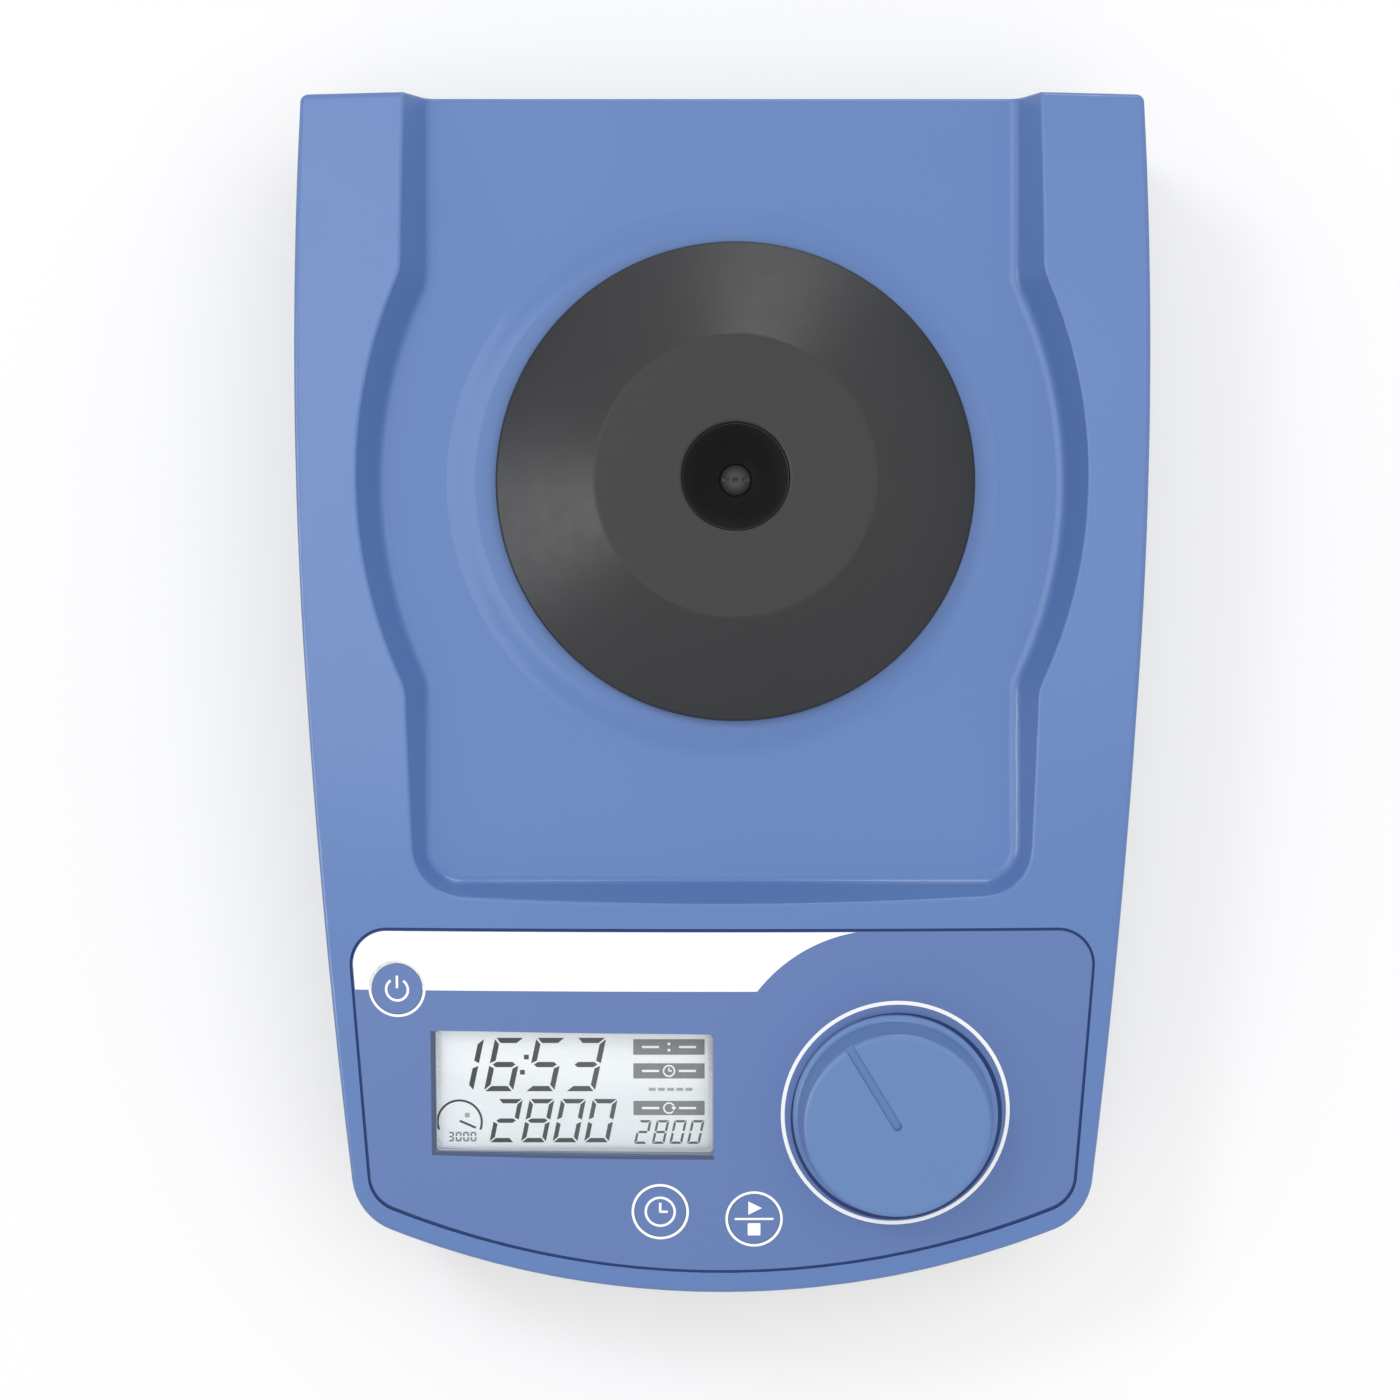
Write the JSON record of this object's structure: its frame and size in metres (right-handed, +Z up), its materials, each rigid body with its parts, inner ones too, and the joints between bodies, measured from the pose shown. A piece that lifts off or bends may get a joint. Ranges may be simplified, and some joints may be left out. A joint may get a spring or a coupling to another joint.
{
  "type": "mini shaker",
  "caption": "Compact orbital shaker: blue housing with raised side rails and open recess, round rubber one-hand attachment on an eccentric drive, sloping panel with display, keys and knob.",
  "frame": {"origin": "on the bench under the middle of the housing", "axes": "+Z up, +Y to the rear (away from the control panel), +X to the right seen from the front"},
  "size_m": [0.1466, 0.2064, 0.0628],
  "materials": {
    "housing_paint": "satin blue powder coat",
    "tray_paint": "satin blue powder coat on the die-cast tray",
    "gasket_rubber": "matte black",
    "foot_rubber": "matte black",
    "screw_steel": "zinc plated",
    "blackened_steel": "blackened",
    "frame_aluminium": "machined",
    "bearing_steel": "ground",
    "shaft_steel": "ground",
    "lamination_steel": "stacked sheet",
    "copper_wire": "enamelled copper",
    "magnet_ferrite": "sintered",
    "weight_iron": "painted casting",
    "carrier_plastic": "moulded",
    "attachment_rubber": "matte dark grey",
    "printed_foil": "fine textured polyester",
    "key_plastic": "fine textured",
    "knob_plastic": "moulded",
    "window_plastic": "clear acrylic",
    "display_plastic": "display module",
    "board_laminate": "glass-fibre board",
    "component_plastic": "moulded",
    "capacitor_sleeve": "sleeved can",
    "nut_brass": "nickel plated",
    "dome_steel": "stainless"
  },
  "bodies": {
    "base": {"base_tray": "tray_paint", "upper_housing": "housing_paint", "housing_gasket": "gasket_rubber", "rubber_feet": "foot_rubber", "foot_screws": "screw_steel", "housing_screws": "screw_steel", "drive_frame": "frame_aluminium", "frame_screws": "screw_steel", "lower_bearing": "bearing_steel", "upper_bearing": "bearing_steel", "bearing_spacer": "screw_steel", "frame_idler_bearings": "bearing_steel", "stator_core": "lamination_steel", "stator_windings": "copper_wire", "control_foil": "printed_foil", "display_window": "window_plastic", "display_module": "display_plastic", "panel_board": "board_laminate", "panel_screws": "screw_steel", "key_domes": "dome_steel", "rotary_encoder": "component_plastic", "encoder_nut": "nut_brass", "main_board": "board_laminate", "board_screws": "screw_steel", "driver_heatsink": "frame_aluminium", "capacitors": "capacitor_sleeve", "processor": "component_plastic", "ballast_left": "weight_iron", "ballast_right": "weight_iron", "power_inlet": "component_plastic"},
    "rotor": {"rotor_bell": "lamination_steel", "rotor_magnets": "magnet_ferrite", "drive_shaft": "shaft_steel", "shaft_circlip": "screw_steel", "eccentric_hub": "shaft_steel", "counterweight": "weight_iron", "weight_screws": "screw_steel"},
    "platform": {"shaking_platform": "frame_aluminium", "eccentric_bearing": "bearing_steel", "platform_idler_bearings": "bearing_steel", "attachment_carrier": "carrier_plastic", "touch_attachment": "attachment_rubber", "centre_screw": "blackened_steel"},
    "idler_1": {"idler_crank_1": "shaft_steel"},
    "idler_2": {"idler_crank_2": "shaft_steel"},
    "idler_3": {"idler_crank_3": "shaft_steel"},
    "knob": {"speed_knob": "knob_plastic", "encoder_shaft": "shaft_steel"},
    "power_button": {"power_key": "key_plastic"},
    "time_button": {"time_key": "key_plastic"},
    "start_stop_button": {"start_stop_key": "key_plastic"}
  },
  "joints": [
    {"name": "drive_spin", "type": "hinge", "parent": "base", "child": "rotor", "pos_m": [0, 0.037, 0.02], "axis": [0, 0, 1], "continuous": true},
    {"name": "platform_orbit", "type": "hinge", "parent": "rotor", "child": "platform", "pos_m": [0.00225, 0.037, 0.0385], "axis": [0, 0, 1], "continuous": true},
    {"name": "idler_1_turn", "type": "hinge", "parent": "base", "child": "idler_1", "pos_m": [0.039, 0.037, 0.03], "axis": [0, 0, 1], "continuous": true},
    {"name": "idler_2_turn", "type": "hinge", "parent": "base", "child": "idler_2", "pos_m": [-0.0195, 0.07078, 0.03], "axis": [0, 0, 1], "continuous": true},
    {"name": "idler_3_turn", "type": "hinge", "parent": "base", "child": "idler_3", "pos_m": [-0.0195, 0.00323, 0.03], "axis": [0, 0, 1], "continuous": true},
    {"name": "knob_turn", "type": "hinge", "parent": "base", "child": "knob", "pos_m": [0.02969, -0.07176, 0.04889], "axis": [0, -0.1426, 0.9898], "continuous": true},
    {"name": "power_key_press", "type": "slide", "parent": "base", "child": "power_button", "axis": [0, 0.1426, -0.9898], "range_m": [0, 0.0004], "stiffness_N_per_m": 4000},
    {"name": "time_key_press", "type": "slide", "parent": "base", "child": "time_button", "axis": [0, 0.1426, -0.9898], "range_m": [0, 0.0004], "stiffness_N_per_m": 4000},
    {"name": "start_stop_key_press", "type": "slide", "parent": "base", "child": "start_stop_button", "axis": [0, 0.1426, -0.9898], "range_m": [0, 0.0004], "stiffness_N_per_m": 4000}
  ],
  "couplings": [
    {"joint": "platform_orbit", "follows": "drive_spin", "ratio": -1},
    {"joint": "idler_1_turn", "follows": "drive_spin", "ratio": 1},
    {"joint": "idler_2_turn", "follows": "drive_spin", "ratio": 1},
    {"joint": "idler_3_turn", "follows": "drive_spin", "ratio": 1}
  ]
}
